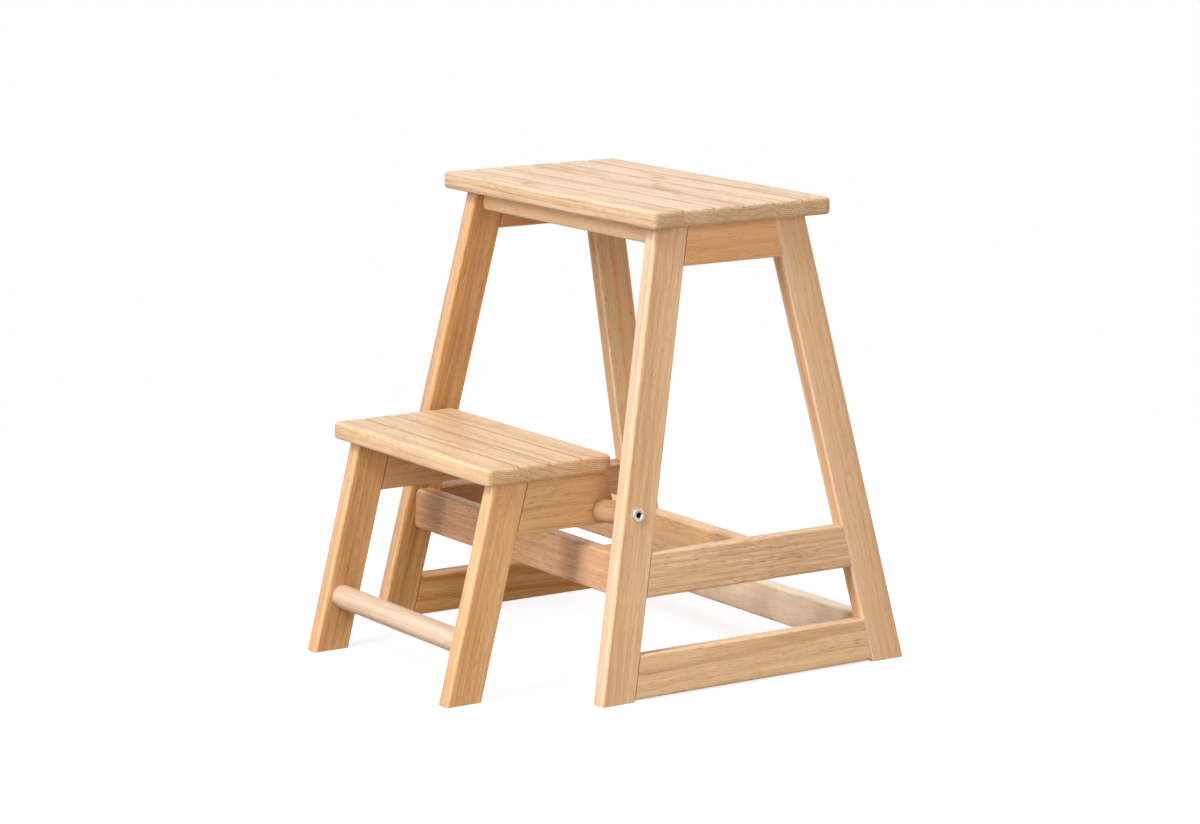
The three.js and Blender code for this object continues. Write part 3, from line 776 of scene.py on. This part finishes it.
def makeSeatTree():
    tree, add, given = newGroup("groovedSeat", "GeometryNodeTree", {
        "Float": dict.fromkeys(["Length", "Depth", "Thickness", *seatLook]),
        "Int": dict.fromkeys(["Strips", *seatCuts]),
        "Vector": {"Centre": None}, "Material": {"Wood": None},
    }, {"Geometry": "Geometry"})
    strips = given["Strips"]
    corner, rim = given["Corner Radius"], given["Edge Radius"]
    blank = add("GeometryNodeMeshCube", [
        (1, 1, 1), given["Cuts Along"] + 1, strips * given["Cuts Per Strip"] + 1,
        given["Cuts Through"] + 1])
    unitX, unitY, unitZ = splitPosition(add)
    halfLength, halfDepth, halfThickness = (
        given[name] * 0.5 for name in ("Length", "Depth", "Thickness"))

    # cuts bunch up at the rounded edges and beside the grooves
    x = calc("SINE", unitX * math.pi) * halfLength
    z = calc("SINE", unitZ * math.pi) * halfThickness
    turn = (unitY + 0.5) * strips
    turn = turn - calc("SINE", turn * math.tau) * given["Bunching"] / math.tau
    y = (turn / strips - 0.5) * given["Depth"]

    # how far a size is past a limit, and the long side of two
    def past(size, limit):
        return calc("MAXIMUM", size - limit, 0)

    def diagonal(a, b):
        return calc("MAXIMUM", calc("SQRT", a * a + b * b), tiny)

    # round the corners in plan, then the edges from the top and from below
    a, b = past(abs(x), halfLength - corner), past(abs(y), halfDepth - corner)
    border = calc("MAXIMUM", a, b)
    away = diagonal(a, b)
    out = past(border, corner - rim)
    tall = past(abs(z), halfThickness - rim)
    slant = diagonal(out, tall)
    curl = calc("MAXIMUM", out, tall) / slant
    share = (border - out + out * curl) / away

    def rounded(value, part, share):
        return (abs(value) - part + part * share) * calc("SIGN", value)

    xRound, yRound, zRound = rounded(x, a, share), rounded(y, b, share), rounded(z, tall, curl)

    # a groove with soft shoulders on each line between two strips, which runs out over the ends
    line = (yRound / given["Depth"] + 0.5) * strips
    nearest = calc("ROUND", line)
    off = abs(line - nearest) * given["Depth"] / strips
    inner = (nearest > 0.5) * (nearest < strips - 0.5)
    groove, shoulder = (remap(off, 0, given[part + " Width"] * 0.5, 1, 0, smooth=True)
                        * given[part + " Depth"] for part in ("Groove", "Shoulder"))
    fading = remap(halfThickness - zRound, 0, rim, 1, 0, smooth=True)
    sunk = (groove + shoulder) * (inner * fading)
    zFinal = zRound - sunk * (tall / slant)
    xFinal = xRound - sunk * (out / slant) * (a / away) * calc("SIGN", x)

    place = vec("ADD", add("ShaderNodeCombineXYZ", [xFinal, yRound, zFinal]), given["Centre"])
    shaped = add("GeometryNodeSetPosition", {"Geometry": blank, "Position": place})
    endTree(add, shaped, given["Wood"])
    return tree


seatTree = makeSeatTree()
seatHoles = {
    "main_seat": [screwHoles(node)[0] for node in screwNodes],
    "step_seat": [dowelHole(f"dowel_step_seat_{label}", zAxis) for label in sides],
}
for node, about in seats.items():
    low, high, centre = boxOf(node)
    size = high - low
    inputs = {
        **seatLook, **seatCuts, "Length": size.x, "Depth": size.y, "Thickness": size.z,
        "Strips": about["strips"], "Centre": centre, "Wood": materials[about["material"]],
    }
    mesh = runTree(seatTree, bpy.data.meshes.new("blank"), inputs, node)
    mesh = drill(mesh, seatHoles[node])
    mesh.set_sharp_from_angle(angle=math.radians(sharpFrom["seat"]))
    giveGrain(mesh, (xAxis, yAxis, zAxis), about["seed"], seatLook["Edge Radius"],
              strips=(about["strips"], size.y, seatLook["Groove Width"] / 2))
    finishPiece(node + "_board", mesh, about["body"], [node], about["material"])
print("seats made")


# Rung, spacers and the steel of the pivots
roundLook = {
    "rungEdge": 0.001, "spacerEdge": 0.0012, "spacerLength": 0.09, "spacerHole": 0.3, "cutSteps": 3,
    "steps": 4, "segments": 56,
}
boltLook = {
    "head": 0.0069, "headHeight": 0.0024, "headEdge": 0.0007, "shaft": 0.003, "segments": 48,
    "threadFrom": 0.03, "pitch": 0.001, "threadDepth": 0.0004, "key": 0.00289, "keyDepth": 0.002,
    "keyMouth": 0.0034, "mouthSegments": 32, "paintedShadeRadius": 0.00323, "paintedShadeDepth": 0.0008,
}
washerLook = {"radius": 0.0085, "edge": 0.0003, "hole": 0.00343, "holeLength": 0.01}
nutLook = {
    "radius": 0.007, "edge": 0.0026, "rim": 0.0005, "thread": 0.0033, "threadDepth": 0.0053,
    "keyDepth": 0.0022, "paintedShadeDepth": 0.00088,
}
# Seeds of the grain, for the spacers by their side
grainSeeds = {"rung": 61, "left": 70, "right": 72, "bolt": 81, "washer": 83, "nut": 85}


# Quarter round from (height, radius) going up and in, or up and out
def roundOver(height, radius, size, closing):
    places = []
    for i in range(roundLook["steps"] + 1):
        angle = math.pi / 2 * i / roundLook["steps"]
        rise, reach = size * math.sin(angle), size * math.cos(angle)
        places.append((height - size + rise, radius - size + reach) if closing
                      else (height + size - reach, radius - size + rise))
    return places


# A bar with rounded rims, from start along a direction
def roundBody(name, radius, length, firstEdge, lastEdge, start, along):
    profile = [(0, 0)] + roundOver(0, radius, firstEdge, False)
    profile += roundOver(length, radius, lastEdge, True) + [(length, 0)]
    return turnedBody(name, profile, roundLook["segments"], start, along)


# A hexagon socket with a bevelled mouth, cut into a flat end at place
def keyCutters(place, inwards, depth):
    radius, mouth = boltLook["key"], boltLook["keyMouth"]
    width = mouth * 2 - radius  # of the cone that bevels the mouth, and its height
    lift = Matrix.Translation((0, 0, width / 2 - (mouth - radius)))
    cone = bmesh.new()
    bmesh.ops.create_cone(cone, cap_ends=True, segments=boltLook["mouthSegments"], radius1=width,
                          radius2=0, depth=width, matrix=placing(place, inwards, "Z", "X") @ lift)
    return holeCutter([(place, inwards, radius, depth * 2)], 6), toMesh("key", cone)


def dressRound(mesh, along, kind, body, node, material, name, socket=None):
    mesh = smoothFlats(mesh, name)
    across = along.orthogonal().normalized()
    axes = (along, across, along.cross(across))
    giveGrain(mesh, axes, grainSeeds[kind], roundLook["rungEdge"], socket=socket)
    finishPiece(name, mesh, body, [node], material)


def dressSteel(mesh, along, kind, node, socket=None):
    dressRound(mesh, along, kind, "frame", node, "zincSteel", node + "_steel", socket)


low, high, centre = boxOf("step_rung")
edge = roundLook["rungEdge"]
rung = roundBody("rung", (high.z - low.z) / 2, high.x - low.x, edge, edge,
                 Vector((low.x, centre.y, centre.z)), xAxis)
dressRound(rung, xAxis, "rung", "step", "step_rung", "rungWood", "step_rung_bar")

for label, side in sides.items():
    outwards = outward[label]
    inwards = -outwards
    pivot = pivots[label]
    outerEnd = lambda node: pivot + outwards * reachFrom(node, pivot, outwards)

    # the wooden spacer, its inner end cut parallel to the washer
    node = f"pivot_spacer_{label}"
    low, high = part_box(node)
    edge = roundLook["spacerEdge"]
    spacer = roundBody(node, (high.y - low.y) / 2, roundLook["spacerLength"], edge, edge,
                       outerEnd(node), inwards)
    bm = bmesh.new()
    bm.from_mesh(spacer)
    face = Vector((min(abs(low.x), abs(high.x)) * side, 0, 0))
    cut = bmesh.ops.bisect_plane(bm, geom=[*bm.verts, *bm.edges, *bm.faces], plane_co=face,
                                 plane_no=xAxis * -side, clear_outer=True)["geom_cut"]
    rim = [e for e in cut if isinstance(e, bmesh.types.BMEdge)]
    bmesh.ops.holes_fill(bm, edges=rim)
    bevel(bm, rim, edge, roundLook["cutSteps"])
    hole = (pivot, outwards, fit["bolt"], roundLook["spacerHole"])
    spacer = drill(toMesh(node, bm), [hole])
    dressRound(spacer, inwards, label, "frame", node, "spacerWood",
               node + "_turned")

    # the bolt: a flat round head with a hexagon socket, and a thread at its far end
    node = f"pivot_bolt_{label}"
    top = outerEnd(node)
    length = reachFrom(node, top, inwards)
    shaft, pitch, height = (boltLook[key] for key in ("shaft", "pitch", "threadFrom"))
    core = shaft - boltLook["threadDepth"]
    profile = [(0, 0)] + roundOver(0, boltLook["head"], boltLook["headEdge"], False)
    profile += [(boltLook["headHeight"], boltLook["head"]), (boltLook["headHeight"], shaft)]
    while height < length - pitch:
        profile += [(height, shaft), (height + pitch / 2, core)]
        height += pitch
    profile += [(length, core), (length, 0)]
    bolt = turnedBody(node, profile, boltLook["segments"], top, inwards)
    bolt = carve(bolt, *keyCutters(top, inwards, boltLook["keyDepth"]))
    # painted shade inside the bolt's socket
    paintedShade = (boltLook["paintedShadeRadius"], boltLook["paintedShadeDepth"], -1)
    dressSteel(bolt, inwards, "bolt", node, paintedShade)

    # the washer lies flat on the step's apron
    node = f"pivot_washer_{label}"
    low, high, centre = boxOf(node)
    start = Vector((low.x if side > 0 else high.x, centre.y, centre.z))
    edge = washerLook["edge"]
    washer = roundBody(node, washerLook["radius"], high.x - low.x, edge, edge, start, xAxis * side)
    hole = (start, xAxis, washerLook["hole"], washerLook["holeLength"])
    dressSteel(drill(washer, [hole]), xAxis, "washer", node)

    # the cap nut, domed, with a socket of its own
    node = f"pivot_cap_nut_{label}"
    start = outerEnd(node)
    length = reachFrom(node, start, inwards)
    radius, rim, edge = (nutLook[key] for key in ("radius", "rim", "edge"))
    nut = roundBody(node, radius, length, rim, edge, start, inwards)
    thread = holeCutter([(start, inwards, nutLook["thread"], nutLook["threadDepth"] * 2)])
    nut = carve(nut, thread, *keyCutters(start + inwards * length, outwards, nutLook["keyDepth"]))
    # painted shade inside the nut's socket
    paintedShade = (boltLook["paintedShadeRadius"], nutLook["paintedShadeDepth"], 1)
    dressSteel(nut, inwards, "nut", node, paintedShade)
print("rung and pivots made")


# Dowels and seat screws: made once, then set on every joint
dowelLook = {
    "Radius": 0.004, "Length": 0.03, "Chamfer": 0.001, "Flutes": 12, "Flute Depth": 0.0003,
}
screwLook = {
    "Head Radius": 0.004, "Head Height": 0.003, "Shaft Radius": 0.002, "Core Radius": 0.0014,
    "Pitch": 0.0016, "Thread From": 0.009, "Slot Length": 0.0048, "Slot Width": 0.0009,
    "Slot Depth": 0.0014, "Tip Radius": 0.0001,
}
# Sides and rows of the bars that they are made from, and where a dowel's end rows begin
barCuts = {"dowel": (48, 3), "screw": (24, 84), "dowelEnd": 0.4}


# Both trees set their piece on each point of a mesh, turned to the point's own direction
def scatterTree(name, floats, build):
    tree, add, given = newGroup(name, "GeometryNodeTree", {
        "Geometry": {"Places": None}, "Float": dict.fromkeys(floats), "Material": {"Finish": None},
    }, {"Geometry": "Geometry"})
    direction = add("GeometryNodeInputNamedAttribute", ["direction"], data_type="FLOAT_VECTOR")
    turned = add("FunctionNodeAlignRotationToVector", {"Vector": direction}, axis="Z")
    spread = add("GeometryNodeInstanceOnPoints", {
        "Points": given["Places"], "Instance": build(given, add), "Rotation": turned})
    endTree(add, spread, given["Finish"])
    return tree


# A bar of unit size, to be drawn in
def plainBar(add, kind):
    count, rows = barCuts[kind]
    return add("GeometryNodeMeshCylinder", {"Vertices": count, "Side Segments": rows, "Depth": 1.0})


# A dowel is a bar whose inner rows have flutes and whose end rows are drawn in
def buildDowel(given, add):
    x, y, z = splitPosition(add)
    atEnd = abs(z) > barCuts["dowelEnd"]
    wave = calc("COSINE", calc("ARCTAN2", y, x) * given["Flutes"])
    flute = (wave + 1) * 0.5 * given["Flute Depth"]
    radius = given["Radius"] - atEnd * given["Chamfer"] - flute
    reach = given["Length"] * 0.5 - (1 - atEnd) * given["Chamfer"]
    place = add("ShaderNodeCombineXYZ", [x * radius, y * radius, calc("SIGN", z) * reach])
    shaped = add("GeometryNodeSetPosition", {"Geometry": plainBar(add, "dowel"), "Position": place})
    values = {
        "Geometry": shaped, "Name": "woodPlace", "Value": add("ShaderNodeCombineXYZ", [z, x, y])}
    return add("GeometryNodeStoreNamedAttribute", values, data_type="FLOAT_VECTOR", domain="POINT")


# A screw is a bar of many rows, each drawn in to the head, the shaft, the thread or the point
def buildScrew(given, add):
    x, y, z = splitPosition(add)
    core, shaft = given["Core Radius"], given["Shaft Radius"]
    height = (z + 0.5) * given["Length"]
    tooth = 1 - abs(calc("FRACT", height / given["Pitch"]) * 2 - 1)
    threaded = height > given["Thread From"]
    body = threaded * (core + tooth * (shaft - core)) + (1 - threaded) * shaft
    inHead = height < given["Head Height"]
    body = inHead * given["Head Radius"] + (1 - inHead) * body
    radius = calc("MINIMUM", body, given["Length"] - height + given["Tip Radius"])
    place = add("ShaderNodeCombineXYZ", [x * radius, y * radius, height])
    shaped = add("GeometryNodeSetPosition", {"Geometry": plainBar(add, "screw"), "Position": place})
    long, short, deep = given["Slot Length"], given["Slot Width"], given["Slot Depth"] * 2
    slots = [add("GeometryNodeMeshCube", [add("ShaderNodeCombineXYZ", size)])
             for size in ((long, short, deep), (short, long, deep))]
    return add("GeometryNodeMeshBoolean", [shaped, slots], operation="DIFFERENCE")


def scatter(name, tree, places, inputs, body, nodes, material):
    mesh = bpy.data.meshes.new(name)
    mesh.from_pydata([place for place, direction in places], [], [])
    store(mesh, "direction", np.array([direction for place, direction in places]), "FLOAT_VECTOR")
    inputs = {**inputs, "Finish": materials[material]}
    made = runTree(tree, mesh, inputs, name)
    made.set_sharp_from_angle(angle=math.radians(sharpFrom["small"]))
    finishPiece(name, made, body, nodes, material)


dowelTree = scatterTree("flutedDowels", dowelLook, buildDowel)
dowels = {
    "frame": {
        **{f"dowel_{rail}_{end}_{label}": yAxis
           for rail in sideRails for end in railsOfLeg for label in sides},
        **{f"dowel_{rail}_{label}": xAxis for rail in crossMaterials for label in sides},
    },
    "step": {f"dowel_step_{part}_{label}": direction
             for part, direction in (("apron", yAxis), ("seat", zAxis)) for label in sides},
}
for body, directions in dowels.items():
    places = [(boxCentre(node), direction) for node, direction in directions.items()]
    scatter(f"{body}_dowels", dowelTree, places, dowelLook, body, list(directions),
            "dowelWood")

screwTree = scatterTree("seatScrews", [*screwLook, "Length"], buildScrew)
places = []
for node in screwNodes:
    low, high, centre = boxOf(node)
    places.append((Vector((centre.x, centre.y, low.z)), zAxis))
scatter("seat_screws", screwTree, places, {**screwLook, "Length": high.z - low.z}, "frame",
        screwNodes, "zincSteel")
print("dowels and screws made")


# Camera, floor and light
view = {
    "azimuth": 56.937, "elevation": 10.582, "roll": 0.157, "distance": 4.04111, "lens": 114.685,
    "target": (0, 0.02378, 0.25),
}
a, e = math.radians(view["azimuth"]), math.radians(view["elevation"])
back = Vector((math.sin(a) * math.cos(e), -math.cos(a) * math.cos(e), math.sin(e)))
lens = bpy.data.cameras.new("camera")
lens.lens = view["lens"]
camera = linkObject("camera", lens)
roll = Matrix.Rotation(math.radians(-view["roll"]), 4, "Z")
place = Vector(view["target"]) + back * view["distance"]
camera.matrix_world = placing(place, -back, "-Z", "Y") @ roll
bpy.context.scene.camera = camera

studio = {
    "floorRadius": 3.2, "floorSegments": 96, "floorSink": 0.0002, "fadeFrom": 0.55, "fadeTo": 1.5,
    "floorColor": "#a39a8e", "floorGlow": 0.78, "floorShade": 0.4, "worldStrength": 0.24,
}
lamps = {
    "keyLamp": {"place": (0.7, -2.8, 3.4), "size": 1.2, "power": 98},
    "frontLamp": {"place": (0.5, -3.6, 2.1), "size": 1.6, "power": 62},
    "topLamp": {"place": (0.1, 0.3, 4.0), "size": 1.9, "power": 12},
    "rearLamp": {"place": (-0.9, 3.4, 2.3), "size": 1.9, "power": 60},
    "sideLamp": {"place": (3.6, -0.9, 1.2), "size": 1.9, "power": 41},
    "lowLamp": {"place": (0.9, -3.6, 0.55), "size": 0.35, "power": 0.12, "spread": 9,
                "aim": (0, 0.19, 0.05)},
}


# The floor takes the shadow near the stool and fades into the white background
def makeFloor():
    bm = bmesh.new()
    bmesh.ops.create_circle(bm, cap_ends=True, segments=studio["floorSegments"],
                            radius=studio["floorRadius"],
                            matrix=Matrix.Translation((0, 0, -studio["floorSink"])))
    mesh = bpy.data.meshes.new("floor")
    bm.to_mesh(mesh)
    bm.free()
    material, add, principled = newMaterial("floorPaint")
    material.node_tree.nodes.clear()
    near = add("ShaderNodeAddShader", [
        add("ShaderNodeEmission", [white, studio["floorGlow"]]),
        add("ShaderNodeBsdfDiffuse", [(studio["floorShade"],) * 3 + (1,)]),
    ])
    far = add("ShaderNodeEmission", [white, 1.0])
    away = vec("LENGTH", add("ShaderNodeTexCoord", out=3), out=1)
    fade = remap(away, studio["fadeFrom"], studio["fadeTo"], smooth=True)
    plain = add("ShaderNodeBsdfDiffuse", [shade(studio["floorColor"])])
    add("ShaderNodeOutputMaterial", [add("ShaderNodeMixShader", [
        add("ShaderNodeLightPath", out=None)["Is Camera Ray"], plain,
        add("ShaderNodeMixShader", [fade, near, far]),
    ])])
    mesh.materials.append(material)
    linkObject("floor", mesh)


# A weak even light, seen as white by the camera and in gloss and glass, and the lamps
def makeLight():
    world = bpy.data.worlds.new("studio")
    bpy.context.scene.world = world
    world.use_nodes = True
    world.node_tree.nodes.clear()
    add = partial(addNode, world.node_tree)
    rays = add("ShaderNodeLightPath", out=None)
    seen = rays["Is Camera Ray"] + rays["Is Glossy Ray"] + rays["Is Transmission Ray"]
    add("ShaderNodeOutputWorld", [add("ShaderNodeMixShader", [
        calc("MINIMUM", seen, 1), add("ShaderNodeBackground", [white, studio["worldStrength"]]),
        add("ShaderNodeBackground", [white, 1.0]),
    ])])
    for name, about in lamps.items():
        data = bpy.data.lights.new(name, "AREA")
        data.shape = "DISK"
        data.size = about["size"]
        data.energy = about["power"]
        data.spread = math.radians(about.get("spread", 180))
        place = Vector(about["place"])
        aim = Vector(about.get("aim", view["target"])) - place
        linkObject(name, data).matrix_world = placing(place, aim, "-Z", "Y")


makeFloor()
makeLight()
bpy.context.scene.view_settings.view_transform = "Standard"
print("camera, floor and light made")
